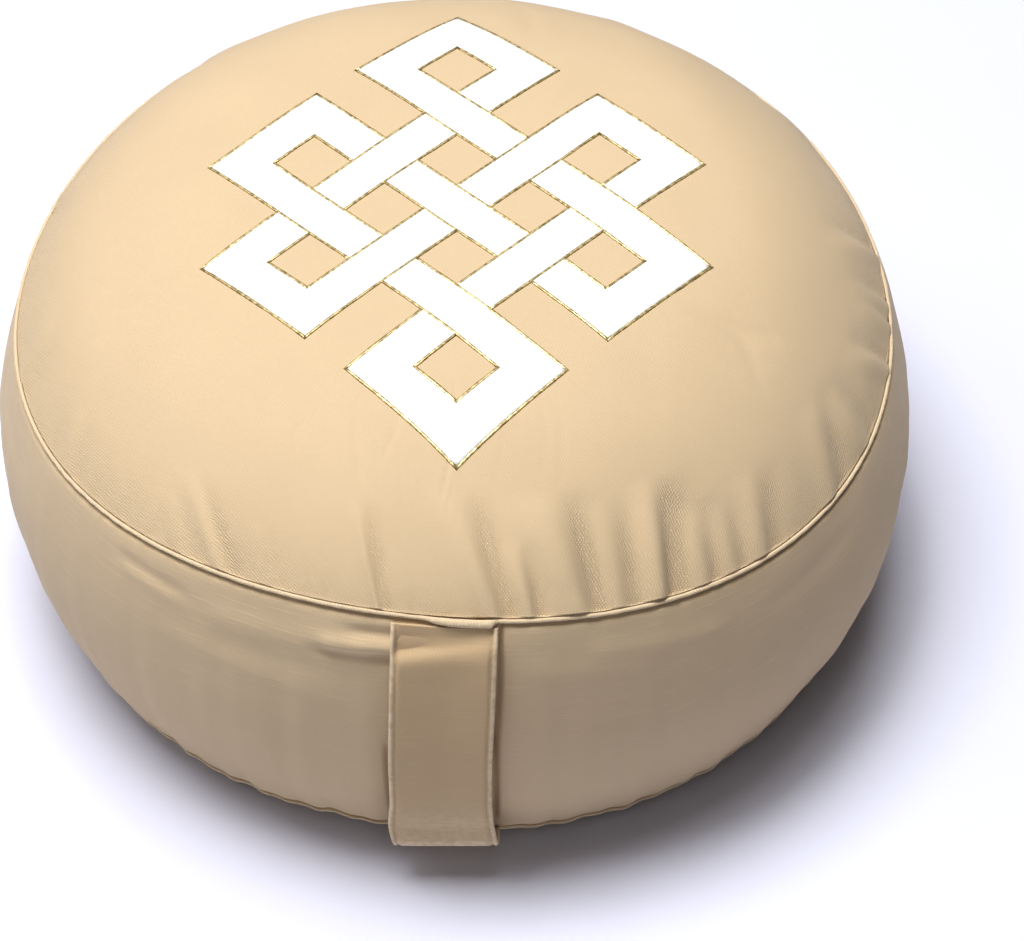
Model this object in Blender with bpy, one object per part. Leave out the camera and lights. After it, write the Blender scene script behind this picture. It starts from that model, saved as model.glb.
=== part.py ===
"""Zafu: a round, boxed meditation cushion, filled with hulls, with a carrying strap at its front.

A maker cuts a round top panel, a straight side band and a round bottom panel from cotton twill,
catches a thin piping in the seam above and the seam below the band, and sews the two ends of a
doubled strap into the same two seams. The filling pushes the panels out into a crown and the
band into a bulge, the seams stay drawn in, and the top panel puckers where it is eased into
its seam. The cushion stands on the floor, z = 0, with the strap towards -Y.
"""

import math
from collections import namedtuple

import bmesh
import bpy
from mathutils import Vector

# Driving dimensions, in metres.
SEAM_RADIUS = 0.156            # from the middle of the cushion to the top seam
SEAM_HEIGHT = 0.124            # mean height of the top seam above the floor
CROWN_RISE = 0.0466            # from the top seam up to the top of the crown
CROWN_POWER = 3.0              # 2 is a dome, more is flatter on top and steeper at the seam
LOW_SEAM_HEIGHT = 0.012        # the seam between the band and the bottom panel
LOW_SEAM_TAPER = 0.97          # its radius, as a share of the top seam's
BAND_BULGE = 0.0126            # how far the filling pushes the band out, halfway down
BAND_FULLNESS = 0.8            # under 1 the band turns out more sharply beside the seams
FOOT_RADIUS = 0.118            # the flat that the cushion's weight presses on the floor
PIPING_RADIUS = 0.0011
STRAP_WIDTH = 0.0346
STRAP_THICKNESS = 0.0022       # two layers of twill with their edges turned in
STRAP_EDGE = 0.0009            # how far the rounding of its long edges reaches in
STRAP_BEARING = math.radians(-90.0)

# How finely the solids are cut. The bearings lie closer together at the front, where the
# puckers are.
BEARINGS = 132
FRONT_CROWDING = 0.35
PIPING_SIDES = 6
STRAP_ROWS_PER_STATION = 4

# The cloth turns in beside each seam and makes a channel for the piping. A row gives a point
# of the channel, out from the seam line and up from it.
SeamStep = namedtuple("SeamStep", "out up")
SEAM_CHANNEL = (
    SeamStep(-0.0008, 0.0017),
    SeamStep(-0.0015, 0.0006),
    SeamStep(-0.0015, -0.0006),
    SeamStep(-0.0008, -0.0017),
)

# The seam isn't a true circle in a level plane: a row is one wave round it, by how many times
# it repeats, its lift and its spread outwards.
SeamWave = namedtuple("SeamWave", "repeats lift_cos lift_sin spread_cos spread_sin")
TOP_SEAM_WAVES = (
    SeamWave(1, -0.0030, -0.0022, 0.0, 0.0),
    SeamWave(2, -0.0034, 0.0008, -0.0017, 0.0001),
    SeamWave(3, 0.0019, 0.0026, -0.0012, -0.0018),
)
LOW_SEAM_WAVES = (
    SeamWave(7, 0.0004, 0.0003, 0.0, 0.0),
    SeamWave(12, 0.0002, 0.0005, 0.0002, 0.0003),
)

# Puckers of the top panel, as furrows that start at the seam. Bearing and lean are in degrees,
# the lean being how much the bearing changes from the seam to the furrow's inner end.
Pucker = namedtuple("Pucker", "bearing lean length width depth")
PUCKERS = (
    Pucker(-125.3, -4.5, 0.014, 0.0040, 0.0011),
    Pucker(-118.6, -8.5, 0.022, 0.0050, 0.0018),
    Pucker(-98.4, -4.8, 0.028, 0.0040, 0.0018),
    Pucker(-84.1, -3.7, 0.033, 0.0065, 0.0024),
    Pucker(-80.3, -1.0, 0.040, 0.0042, 0.0020),
    Pucker(-74.8, 1.8, 0.038, 0.0062, 0.0022),
    Pucker(-69.3, 3.1, 0.027, 0.0042, 0.0015),
    Pucker(-63.4, 4.0, 0.028, 0.0058, 0.0026),
    Pucker(-56.3, 1.7, 0.015, 0.0040, 0.0012),
    Pucker(-47.7, 2.5, 0.018, 0.0045, 0.0013),
    Pucker(-28.0, 1.5, 0.016, 0.0050, 0.0009),
    Pucker(-13.0, -0.7, 0.013, 0.0040, 0.0011),
    Pucker(-3.0, 0.5, 0.011, 0.0045, 0.0011),
    Pucker(8.6, 0.3, 0.013, 0.0045, 0.0011),
    Pucker(36.0, 2.0, 0.015, 0.0060, 0.0010),
    Pucker(71.0, -2.0, 0.018, 0.0060, 0.0012),
    Pucker(98.0, 2.5, 0.014, 0.0055, 0.0010),
    Pucker(131.0, -1.5, 0.017, 0.0060, 0.0012),
    Pucker(163.0, 2.0, 0.014, 0.0055, 0.0010),
    Pucker(196.0, -2.0, 0.016, 0.0050, 0.0011),
    Pucker(214.0, -3.0, 0.013, 0.0045, 0.0010),
)
PUCKER_SHOULDER = 0.3          # the cloth beside a furrow stands up by this share of its depth
PUCKER_SHOULDER_SPREAD = 2.2   # and this many times as wide

# The rings of each panel: shares of the way from the crown's middle to the seam, from the top
# seam down the band, and from the low seam in to the foot.
CROWN_RINGS = (0.18, 0.36, 0.52, 0.66, 0.76, 0.83, 0.88, 0.92, 0.95, 0.975)
BAND_RINGS = (0.06, 0.14, 0.25, 0.38, 0.50, 0.62, 0.75, 0.86, 0.94)
BOTTOM_RINGS = (0.3, 0.65, 1.0)

# The strap's route at mid thickness, from the top seam to the low seam: height above the
# floor, reach from the cushion's middle, and sideways drift. It lies on the upper half of the
# band, hangs straight off the bulge, and turns under to the low seam.
Station = namedtuple("Station", "height reach aside")
STRAP_ROUTE = (
    Station(0.1302, 0.1575, -0.0023),
    Station(0.1253, 0.1609, -0.0025),
    Station(0.1156, 0.1636, -0.0029),
    Station(0.1024, 0.1663, -0.0034),
    Station(0.0867, 0.1680, -0.0040),
    Station(0.0722, 0.1682, -0.0045),
    Station(0.0580, 0.1676, -0.0046),
    Station(0.0450, 0.1667, -0.0045),
    Station(0.0340, 0.1658, -0.0042),
    Station(0.0245, 0.1651, -0.0037),
    Station(0.0207, 0.1630, -0.0036),
    Station(0.0178, 0.1590, -0.0036),
    Station(0.0134, 0.1531, -0.0036),
)
STRAP_TOP_FADE = 0.025         # below the top seam by this, the strap no longer follows it
STRAP_FLATNESS = 0.7           # how much of the band's roundness the strap gives up, low down

# Above the strap's right-hand part its folded end fills the piping out into a short roll.
ROLL_START = math.radians(-94.0)
ROLL_FULL = math.radians(-90.0)
ROLL_END = math.radians(-84.8)
ROLL_EXTRA = 0.0005

TWILL_COLOUR = (0.80, 0.66, 0.46, 1.0)
PIPING_COLOUR = (0.86, 0.71, 0.50, 1.0)
STRAP_COLOUR = (0.70, 0.57, 0.40, 1.0)
TWILL_ROUGHNESS = 0.9


def blend(low, high, value):
    """How far value has come from low to high, eased at both ends and kept within 0 and 1."""
    share = min(max((value - low) / (high - low), 0.0), 1.0)
    return share * share * (3.0 - 2.0 * share)


def bearings():
    """The bearings at which every ring is cut, closer together towards the strap."""
    steps = [math.tau * index / BEARINGS for index in range(BEARINGS)]
    return [step - FRONT_CROWDING * math.sin(step - STRAP_BEARING) for step in steps]


def seam_offsets(waves, bearing):
    """Lift and outward spread that a seam's waves add at a bearing."""
    lift = 0.0
    spread = 0.0
    for wave in waves:
        cosine = math.cos(wave.repeats * bearing)
        sine = math.sin(wave.repeats * bearing)
        lift += wave.lift_cos * cosine + wave.lift_sin * sine
        spread += wave.spread_cos * cosine + wave.spread_sin * sine
    return lift, spread


def top_seam(bearing):
    """Radius and height of the top seam line."""
    lift, spread = seam_offsets(TOP_SEAM_WAVES, bearing)
    return SEAM_RADIUS + spread, SEAM_HEIGHT + lift


def low_seam(bearing):
    """Radius and height of the low seam line, which follows the top seam's outline."""
    lift, spread = seam_offsets(LOW_SEAM_WAVES, bearing)
    return top_seam(bearing)[0] * LOW_SEAM_TAPER + spread, LOW_SEAM_HEIGHT + lift


def around(radius, height, bearing):
    """A point by its distance from the upright axis, its height and its bearing."""
    return Vector((radius * math.cos(bearing), radius * math.sin(bearing), height))


def pucker_depth(bearing, inset):
    """How far the top panel sinks at a bearing and a distance in from the seam."""
    depth = 0.0
    for pucker in PUCKERS:
        if inset >= pucker.length:
            continue
        run = inset / pucker.length
        middle = math.radians(pucker.bearing + pucker.lean * run)
        turn = math.remainder(bearing - middle, math.tau)
        across = (SEAM_RADIUS - inset) * turn / (pucker.width * (1.0 + 0.6 * run))
        furrow = math.exp(-across * across)
        shoulder = math.exp(-((across / PUCKER_SHOULDER_SPREAD) ** 2))
        fade = (1.0 - run) * (1.0 + 2.0 * run)
        depth += pucker.depth * fade * (furrow - PUCKER_SHOULDER * shoulder)
    return depth


def crown_point(share, bearing):
    """A point of the top panel, share of the way from its middle to the seam."""
    radius, height = top_seam(bearing)
    lift = (height - SEAM_HEIGHT) * share ** 2
    rise = CROWN_RISE * (1.0 - share ** CROWN_POWER)
    slope = CROWN_RISE * CROWN_POWER * share ** (CROWN_POWER - 1.0) / radius
    sink = pucker_depth(bearing, radius * (1.0 - share)) / math.hypot(1.0, slope)
    return around(radius * share - sink * slope, SEAM_HEIGHT + lift + rise - sink, bearing)


def band_point(share, bearing):
    """A point of the side band, share of the way from the top seam to the low seam."""
    top_radius, top_height = top_seam(bearing)
    low_radius, low_height = low_seam(bearing)
    bulge = BAND_BULGE * math.sin(math.pi * share) ** BAND_FULLNESS
    radius = top_radius + (low_radius - top_radius) * share + bulge
    return around(radius, top_height + (low_height - top_height) * share, bearing)


def bottom_point(share, bearing):
    """A point of the bottom panel, share of the way from the low seam in to the foot."""
    radius, height = low_seam(bearing)
    radius += SEAM_CHANNEL[-1].out
    height += SEAM_CHANNEL[-1].up
    return around(radius + (FOOT_RADIUS - radius) * share, height * (1.0 - share) ** 2, bearing)


def channel_rings(seam):
    """The rings of the channel that a seam draws in, from its upper lip to its lower one."""
    rings = []
    for step in SEAM_CHANNEL:
        ring = []
        for bearing in bearings():
            radius, height = seam(bearing)
            ring.append(around(radius + step.out, height + step.up, bearing))
        rings.append(ring)
    return rings


def panel_rings(shares, panel_point):
    """One ring of a panel for each share, cut at every bearing."""
    return [[panel_point(share, bearing) for bearing in bearings()] for share in shares]


def piping_rings(seam, roll_extra):
    """Cross sections of a piping that lies in its seam's channel."""
    rings = []
    for bearing in bearings():
        turn = math.remainder(bearing, math.tau)
        swell = 0.0
        if ROLL_START < turn < ROLL_END:
            swell = roll_extra * blend(ROLL_START, ROLL_FULL, turn)
        thickness = PIPING_RADIUS + swell
        radius, height = seam(bearing)
        ring = []
        for side in range(PIPING_SIDES):
            angle = math.tau * (side + 0.5) / PIPING_SIDES
            out = swell + thickness * math.cos(angle)
            ring.append(around(radius + out, height + thickness * math.sin(angle), bearing))
        rings.append(ring)
    return rings


def strap_section():
    """The strap's cross section as (across, through) pairs, through being outwards."""
    half = STRAP_WIDTH / 2.0
    flats = [half - STRAP_EDGE, half / 2.0, 0.0, -half / 2.0, STRAP_EDGE - half]
    outer = [(across, STRAP_THICKNESS / 2.0) for across in flats]
    inner = [(across, -STRAP_THICKNESS / 2.0) for across in reversed(flats)]
    return outer + [(-half, 0.0)] + inner + [(half, 0.0)]


def smooth_route(stations, steps):
    """Points of a smooth curve through the stations, each (height, reach, aside)."""
    points = [Vector(station) for station in stations]
    points = [2.0 * points[0] - points[1]] + points + [2.0 * points[-1] - points[-2]]
    route = []
    for before, start, end, after in zip(points, points[1:], points[2:], points[3:]):
        for step in range(steps):
            t = step / steps
            curve = 2.0 * start + (end - before) * t
            curve += (2.0 * before - 5.0 * start + 4.0 * end - after) * t ** 2
            curve += (3.0 * start - before - 3.0 * end + after) * t ** 3
            route.append(curve / 2.0)
    return route + [points[-2]]


def strap_rings():
    """Cross sections of the strap along its route."""
    route = smooth_route(STRAP_ROUTE, STRAP_ROWS_PER_STATION)
    seam_height = top_seam(STRAP_BEARING)[1]
    rings = []
    for index, here in enumerate(route):
        ahead = route[min(index + 1, len(route) - 1)]
        behind = route[max(index - 1, 0)]
        run = Vector((ahead.x - behind.x, ahead.y - behind.y)).normalized()
        near_top = 1.0 - blend(0.0, STRAP_TOP_FADE, seam_height - here.x)
        roundness = 1.0 - STRAP_FLATNESS * (1.0 - near_top)
        ring = []
        for across, through in strap_section():
            aside = here.z + across
            reach = here.y - through * run.x
            height = here.x + through * run.y
            lift = top_seam(STRAP_BEARING + aside / reach)[1] - seam_height
            sagitta = roundness * (reach - math.sqrt(reach ** 2 - aside ** 2))
            ring.append(Vector((aside, sagitta - reach, height + lift * near_top)))
        rings.append(ring)
    return rings


def cloth_material(name, colour):
    """A matt cotton of one colour."""
    material = bpy.data.materials.new(name)
    material.use_nodes = True
    shader = material.node_tree.nodes["Principled BSDF"]
    shader.inputs["Base Color"].default_value = colour
    shader.inputs["Roughness"].default_value = TWILL_ROUGHNESS
    shader.inputs["Metallic"].default_value = 0.0
    return material


def add_body(name, rings, colour, ends):
    """A closed body from rings of points. Its ends are joined, flat, or peaked at their middle."""
    shape = bmesh.new()
    rows = [[shape.verts.new(point) for point in ring] for ring in rings]
    pairs = list(zip(rows, rows[1:]))
    if ends == "joined":
        pairs.append((rows[-1], rows[0]))
    for row, following in pairs:
        for index in range(len(row)):
            beside = (index + 1) % len(row)
            shape.faces.new((row[index], row[beside], following[beside], following[index]))
    if ends == "flat":
        shape.faces.new(rows[0])
        shape.faces.new(rows[-1])
    if ends == "peaked":
        for row, ring in ((rows[0], rings[0]), (rows[-1], rings[-1])):
            middle = shape.verts.new((0.0, 0.0, peak_height(ring)))
            for index in range(len(row)):
                shape.faces.new((row[index], row[(index + 1) % len(row)], middle))
    bmesh.ops.recalc_face_normals(shape, faces=shape.faces)
    mesh = bpy.data.meshes.new(name)
    shape.to_mesh(mesh)
    shape.free()
    mesh.shade_smooth()
    mesh.materials.append(cloth_material(name, colour))
    body = bpy.data.objects.new(name, mesh)
    bpy.context.scene.collection.objects.link(body)


def peak_height(ring):
    """Height of the middle of an end: the crown's top above the band, the floor below it."""
    above = ring[0].z > SEAM_HEIGHT
    return SEAM_HEIGHT + CROWN_RISE if above else 0.0


def main():
    for old in list(bpy.data.objects):
        bpy.data.objects.remove(old)
    cushion_rings = panel_rings(CROWN_RINGS, crown_point)
    cushion_rings += channel_rings(top_seam)
    cushion_rings += panel_rings(BAND_RINGS, band_point)
    cushion_rings += channel_rings(low_seam)
    cushion_rings += panel_rings(BOTTOM_RINGS, bottom_point)
    add_body("cushion", cushion_rings, TWILL_COLOUR, "peaked")
    add_body("top_piping", piping_rings(top_seam, ROLL_EXTRA), PIPING_COLOUR, "joined")
    add_body("bottom_piping", piping_rings(low_seam, 0.0), PIPING_COLOUR, "joined")
    add_body("carry_strap", strap_rings(), STRAP_COLOUR, "flat")


main()
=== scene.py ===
"""Looks of a zafu: a round, boxed meditation cushion in cream cotton twill, filled with hulls.

A thin piping runs in the seam above and below the side band, a doubled carrying strap is sewn
into both seams at the front, and an endless knot in white with gold outlines lies on the crown.
The cushion stands on the floor, z = 0, with the strap towards -Y. Lengths are in metres.
"""

import itertools
import math
from collections import namedtuple

import bmesh
import bpy
import numpy as np
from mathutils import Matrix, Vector, noise


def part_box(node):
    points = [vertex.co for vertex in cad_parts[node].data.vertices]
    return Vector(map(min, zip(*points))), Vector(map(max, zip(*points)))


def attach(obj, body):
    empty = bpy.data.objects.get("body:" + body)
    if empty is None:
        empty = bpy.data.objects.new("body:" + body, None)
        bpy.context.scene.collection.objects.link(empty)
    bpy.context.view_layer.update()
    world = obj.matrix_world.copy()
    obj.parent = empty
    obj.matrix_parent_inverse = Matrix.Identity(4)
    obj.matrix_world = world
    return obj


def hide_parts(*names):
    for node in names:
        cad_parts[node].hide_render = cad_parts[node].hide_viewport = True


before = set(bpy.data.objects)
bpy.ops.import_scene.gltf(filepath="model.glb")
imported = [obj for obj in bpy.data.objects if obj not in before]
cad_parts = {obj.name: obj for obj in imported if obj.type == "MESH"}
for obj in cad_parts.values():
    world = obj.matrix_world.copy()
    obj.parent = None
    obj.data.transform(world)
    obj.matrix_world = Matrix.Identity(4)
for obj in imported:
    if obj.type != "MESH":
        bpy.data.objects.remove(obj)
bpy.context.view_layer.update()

scene = bpy.context.scene


# Studio. A pale floor, faintly blue, runs out of view on all sides. Soft lights hang above the
# cushion, most of them to its left, and two weak ones fill in from the front. The floor throws
# most of the light that reaches the band. The camera looks down at the cushion's front.
FLOOR_SIZE = 12.0
FLOOR_COLOUR = (0.748, 0.755, 0.866, 1.0)
FLOOR_ROUGHNESS = 0.9
SURROUND_COLOUR = (0.90, 0.95, 1.0, 1.0)
SURROUND_STRENGTH = 0.02       # how much the surroundings light the cushion
SURROUND_SEEN = 0.93           # and how pale they look beyond the floor
LIGHT_HEIGHT = 3.2             # the light on the floor fades as under one light this high
FLOOR_GLOW_START = 0.95        # and where less than this share is left, the floor glows
FLOOR_GLOW = (0.86, 0.87, 0.93)
LIGHT_COLOUR = (0.985, 0.991, 1.0)
StudioLight = namedtuple("StudioLight", "name place size power")
STUDIO_LIGHTS = (
    StudioLight("above", (0.00, 0.00, 3.28), 1.30, 42.0),
    StudioLight("above_left", (-0.83, 0.00, 3.17), 1.30, 64.0),
    StudioLight("above_back", (0.00, 0.83, 3.17), 1.30, 27.0),
    StudioLight("left", (-1.84, 0.00, 2.70), 1.60, 15.0),
    StudioLight("front", (0.00, -1.84, 2.70), 1.60, 8.0),
    StudioLight("front_left", (-1.92, -1.92, 1.35), 1.60, 4.5),
)
PICTURE_GAMMA = 0.85
LIGHT_AIM = Vector((0.0, 0.0, 0.08))
CAMERA_PLACE = (0.01936, -0.81564, 0.93484)
CAMERA_TILT = math.radians(42.052)
CAMERA_LENS = 113.7
CAMERA_SENSOR = 36.0


def set_values(tree, node, values):
    """Gives a node's inputs their values, or links them. A node stands for its first output."""
    for name, value in values.items():
        if isinstance(value, bpy.types.Node):
            value = value.outputs[0]
        if isinstance(value, bpy.types.NodeSocket):
            tree.links.new(value, node.inputs[name])
        else:
            node.inputs[name].default_value = value


def add_node(tree, kind, settings=(), values=()):
    """Adds a node, with its settings and the values or links of its inputs."""
    node = tree.nodes.new(kind)
    for name, setting in dict(settings).items():
        setattr(node, name, setting)
    set_values(tree, node, dict(values))
    return node


def maths(tree, operation, first, second=0.0, third=0.0):
    """Adds a Math node and returns its output."""
    node = add_node(tree, "ShaderNodeMath", {"operation": operation},
                    {0: first, 1: second, 2: third})
    return node.outputs[0]


def scaled(tree, vector, factor):
    """Adds a node that scales a vector or a colour, and returns its output."""
    node = add_node(tree, "ShaderNodeVectorMath", {"operation": "SCALE"},
                    {0: vector, "Scale": factor})
    return node.outputs[0]


def object_place(tree):
    """Adds the coordinates of the piece itself and returns them."""
    return add_node(tree, "ShaderNodeTexCoord").outputs["Object"]


def plain_material(name, colour, roughness):
    """A Principled material of one colour, with its node tree and its shader."""
    material = bpy.data.materials.new(name)
    material.use_nodes = True
    tree = material.node_tree
    shader = tree.nodes["Principled BSDF"]
    set_values(tree, shader, {"Base Color": colour, "Roughness": roughness})
    return material, tree, shader


def floor_material():
    """Pale floor that stays pale far out, where the lights hardly reach."""
    material, tree, shader = plain_material("floor", FLOOR_COLOUR, FLOOR_ROUGHNESS)
    away = add_node(tree, "ShaderNodeVectorMath", {"operation": "LENGTH"},
                    {0: object_place(tree)})
    away = maths(tree, "DIVIDE", away.outputs["Value"], LIGHT_HEIGHT)
    lit = maths(tree, "POWER", maths(tree, "MULTIPLY_ADD", away, away, 1.0), -2.0)
    lost = maths(tree, "MAXIMUM", maths(tree, "SUBTRACT", FLOOR_GLOW_START, lit), 0.0)
    set_values(tree, shader, {"Emission Color": scaled(tree, FLOOR_GLOW, lost),
                              "Emission Strength": 1.0})
    return material


def put_in_scene(name, data):
    """A new object in the scene, made of the data."""
    item = bpy.data.objects.new(name, data)
    scene.collection.objects.link(item)
    return item


floor_mesh = bpy.data.meshes.new("floor")
half_floor = FLOOR_SIZE / 2.0
floor_corners = [(-half_floor, -half_floor, 0.0), (half_floor, -half_floor, 0.0),
                 (half_floor, half_floor, 0.0), (-half_floor, half_floor, 0.0)]
floor_mesh.from_pydata(floor_corners, [], [(0, 1, 2, 3)])
floor_mesh.materials.append(floor_material())
floor = put_in_scene("floor", floor_mesh)

for studio_light in STUDIO_LIGHTS:
    light_data = bpy.data.lights.new(studio_light.name, "AREA")
    light_data.shape = "DISK"
    light_data.size = studio_light.size
    light_data.energy = studio_light.power
    light_data.color = LIGHT_COLOUR
    light = put_in_scene(studio_light.name, light_data)
    light.location = studio_light.place
    aim = LIGHT_AIM - Vector(studio_light.place)
    light.rotation_euler = aim.to_track_quat("-Z", "Y").to_euler()

scene.world = bpy.data.worlds.new("surround")
scene.world.use_nodes = True
surround = scene.world.node_tree
seen = add_node(surround, "ShaderNodeLightPath").outputs["Is Camera Ray"]
strength = maths(surround, "MULTIPLY_ADD", seen, SURROUND_SEEN, SURROUND_STRENGTH)
set_values(surround, surround.nodes["Background"],
           {"Color": SURROUND_COLOUR, "Strength": strength})
scene.view_settings.view_transform = "Standard"
scene.view_settings.gamma = PICTURE_GAMMA

camera_data = bpy.data.cameras.new("camera")
camera_data.sensor_width = CAMERA_SENSOR
camera_data.lens = CAMERA_LENS
camera = put_in_scene("camera", camera_data)
camera.location = CAMERA_PLACE
camera.rotation_euler = (CAMERA_TILT, 0.0, 0.0)
scene.camera = camera


# Cover. A round top panel, a straight side band and a round bottom panel are cut from cream
# cotton twill and sewn together. Hulls fill the cover tightly: the top crowns, the band
# bulges, the seams stay drawn in, and the top puckers where it is eased into its seam.
SEAM_RADIUS = 0.156
SEAM_HEIGHT = 0.124
CROWN_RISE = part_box("cushion")[1].z - SEAM_HEIGHT
CROWN_POWER = 4.7              # the higher, the flatter the crown and the steeper its edge
CROWN_SIDE_POWER = 0.5         # added at the sides, and taken off in front and behind
CROWN_BACK_POWER = 0.4         # added behind, and taken off in front
CROWN_LEAN = 0.0240            # how much fuller the crown is towards one side
CROWN_LEAN_BEARING = math.radians(-72.0)
LOW_SEAM_HEIGHT = 0.012
LOW_SEAM_TAPER = 0.97
BAND_BULGE = 0.0126
BAND_FULLNESS = 0.8
FOOT_RADIUS = 0.118
STRAP_BEARING = math.radians(-90.0)
COLUMNS = 256
FRONT_CROWDING = 0.66
CROWN_ROWS = 40
CROWN_CROWDING = 1.4           # over 1, the rows of the top lie closer together at its seam
BAND_ROWS = 30
BOTTOM_ROWS = 9
FILLING_PRESSURE = 4.0
FILLING_FRAMES = 20
SLACK_SHARE = 0.955            # the crown and bulge that the cover starts from
SEWN_REACH = 0.01              # rings are held this near to the top seam, and below the band
LARGEST_MOVE = 0.006
MIDDLE_REACH = 0.9             # towards the crown's middle from here, each ring moves as one

# The cloth turns in beside each seam: a row is a point out from the seam line and up from it.
SeamStep = namedtuple("SeamStep", "out up")
SEAM_CHANNEL = (
    SeamStep(-0.0004, 0.0007),
    SeamStep(-0.0008, 0.0002),
    SeamStep(-0.0010, -0.0004),
    SeamStep(-0.0009, -0.0010),
)

# A row is one wave round a seam: how often it repeats, its lift and its spread outwards.
SeamWave = namedtuple("SeamWave", "repeats lift_cos lift_sin spread_cos spread_sin")
TOP_SEAM_WAVES = (
    SeamWave(1, -0.0030, -0.0022, 0.0, 0.0),
    SeamWave(2, -0.0034, 0.0008, -0.0017, 0.0001),
    SeamWave(3, 0.0019, 0.0026, -0.0012, -0.0018),
)
LOW_SEAM_WAVES = (
    SeamWave(7, 0.0004, 0.0003, 0.0, 0.0),
    SeamWave(12, 0.0002, 0.0005, 0.0002, 0.0003),
    SeamWave(31, 0.0005, -0.0002, 0.0003, 0.0001),
    SeamWave(53, -0.0002, 0.0005, 0.0001, 0.0003),
    SeamWave(87, 0.0003, 0.0002, 0.0002, -0.0002),
)

# Puckers of the top panel, which run from the seam inwards. Each is a fold with a steep wall on
# one side of its furrow and a gentle slope on the other. Bearing and lean are in degrees.
Pucker = namedtuple("Pucker", "bearing lean length wall slope depth")
PUCKERS = (
    Pucker(-124.1, -5.1, 0.013, 0.0014, 0.0040, 0.0009),
    Pucker(-118.0, -9.5, 0.019, 0.0017, 0.0050, 0.0018),
    Pucker(-112.1, -3.8, 0.015, 0.0014, 0.0045, 0.0007),
    Pucker(-98.3, -4.9, 0.027, 0.0009, 0.0032, 0.0020),
    Pucker(-84.1, -4.6, 0.032, 0.0022, 0.0036, 0.0031),
    Pucker(-80.1, -1.0, 0.019, 0.0015, 0.0034, 0.0023),
    Pucker(-73.5, -1.6, 0.031, 0.0031, 0.0052, 0.0038),
    Pucker(-69.0, 1.5, 0.027, 0.0023, 0.0048, 0.0020),
    Pucker(-63.8, 3.9, 0.028, 0.0020, 0.0069, 0.0039),
    Pucker(-57.7, 2.4, 0.019, 0.0021, 0.0048, 0.0020),
    Pucker(-53.5, 1.8, 0.016, 0.0020, 0.0041, 0.0018),
    Pucker(-48.7, 3.6, 0.018, 0.0023, 0.0052, 0.0023),
    Pucker(-34.9, 6.3, 0.019, 0.0029, 0.0063, 0.0019),
    Pucker(-24.4, -0.5, 0.017, 0.0026, 0.0057, 0.0014),
    Pucker(-11.2, -4.8, 0.015, 0.0021, 0.0052, 0.0018),
    Pucker(-3.9, -2.6, 0.014, 0.0018, 0.0046, 0.0016),
    Pucker(-0.2, -3.8, 0.016, 0.0018, 0.0046, 0.0016),
    Pucker(8.8, -5.4, 0.023, 0.0022, 0.0052, 0.0018),
    Pucker(36.0, 2.0, 0.015, 0.0040, 0.0060, 0.0012),
    Pucker(71.0, -2.0, 0.018, 0.0042, 0.0060, 0.0014),
    Pucker(98.0, 2.5, 0.014, 0.0040, 0.0055, 0.0012),
    Pucker(131.0, -1.5, 0.017, 0.0038, 0.0060, 0.0014),
    Pucker(163.0, 2.0, 0.014, 0.0030, 0.0055, 0.0012),
    Pucker(196.0, -2.0, 0.016, 0.0024, 0.0050, 0.0012),
    Pucker(214.0, -3.0, 0.013, 0.0018, 0.0045, 0.0011),
)
PUCKER_RIDGE = 0.52            # the share of a pucker's depth that stands above the cloth
PUCKER_RIDGE_OFF = 1.3         # how far the ridge lies off, in widths of the wall
PUCKER_RIDGE_WIDTH = 1.9       # and how wide it is
PUCKER_SPREAD = 0.5            # how much wider a pucker is at its inner end

# Creases of the band, each a soft ridge (height above 0) or trough between two places. A place
# is a bearing in degrees and a share of the way down from the top seam to the low seam.
Crease = namedtuple("Crease", "bearing share end_bearing end_share width height")
BAND_CREASES = (
    Crease(-104.0, 0.105, -97.5, 0.096, 0.0023, 0.0017),
    Crease(-104.5, 0.142, -97.8, 0.136, 0.0020, -0.0014),
    Crease(-100.5, 0.062, -97.5, 0.060, 0.0017, -0.0014),
    Crease(-118.0, 0.130, -101.0, 0.118, 0.0045, 0.0007),
    Crease(-132.0, 0.090, -125.0, 0.103, 0.0022, -0.0008),
    Crease(-131.0, 0.118, -126.0, 0.130, 0.0026, 0.0005),
    Crease(-124.0, 0.262, -106.0, 0.305, 0.0040, 0.0004),
    Crease(-117.0, 0.215, -100.0, 0.200, 0.0030, -0.0003),
    Crease(-84.45, 0.050, -85.4, 0.450, 0.0010, -0.0030),
    Crease(-85.4, 0.480, -85.2, 0.840, 0.0010, -0.0030),
    Crease(-97.7, 0.520, -97.9, 0.840, 0.0009, -0.0018),
    Crease(-80.0, 0.170, -68.0, 0.200, 0.0045, 0.0004),
    Crease(-72.0, 0.120, -58.0, 0.150, 0.0040, 0.0005),
    Crease(-48.0, 0.160, -36.0, 0.140, 0.0040, -0.0004),
    Crease(20.0, 0.180, 33.0, 0.140, 0.0045, 0.0005),
    Crease(84.0, 0.150, 99.0, 0.170, 0.0040, -0.0005),
    Crease(140.0, 0.200, 155.0, 0.160, 0.0045, 0.0006),
    Crease(188.0, 0.140, 203.0, 0.170, 0.0040, -0.0004),
)
CREASE_FADE = 0.005            # a crease runs out over this
LUMP_SIZE = 0.034              # the hulls pack in soft lumps of about this size
LUMP_HEIGHT = 0.0007
LUMP_START = 0.001             # they start this far from a seam,
LUMP_FADE = 0.006              # and are full this much further on
LUMP_END = 2.2                 # the panel place, on the bottom, where they have run out
RIPPLE_SIZE = 0.0048           # the seams gather the cloth in small ripples
RIPPLE_HEIGHT = 0.00055
RIPPLE_START = 0.0020
RIPPLE_REACH = 0.0050
RIPPLE_CHANGE = 3.0            # how quickly they change down a panel
RIPPLE_SEED = 7.0
FAINTEST_RIPPLE = 0.02
TUCK_DEPTH = 0.0007            # beside its seams the band dips in
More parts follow.
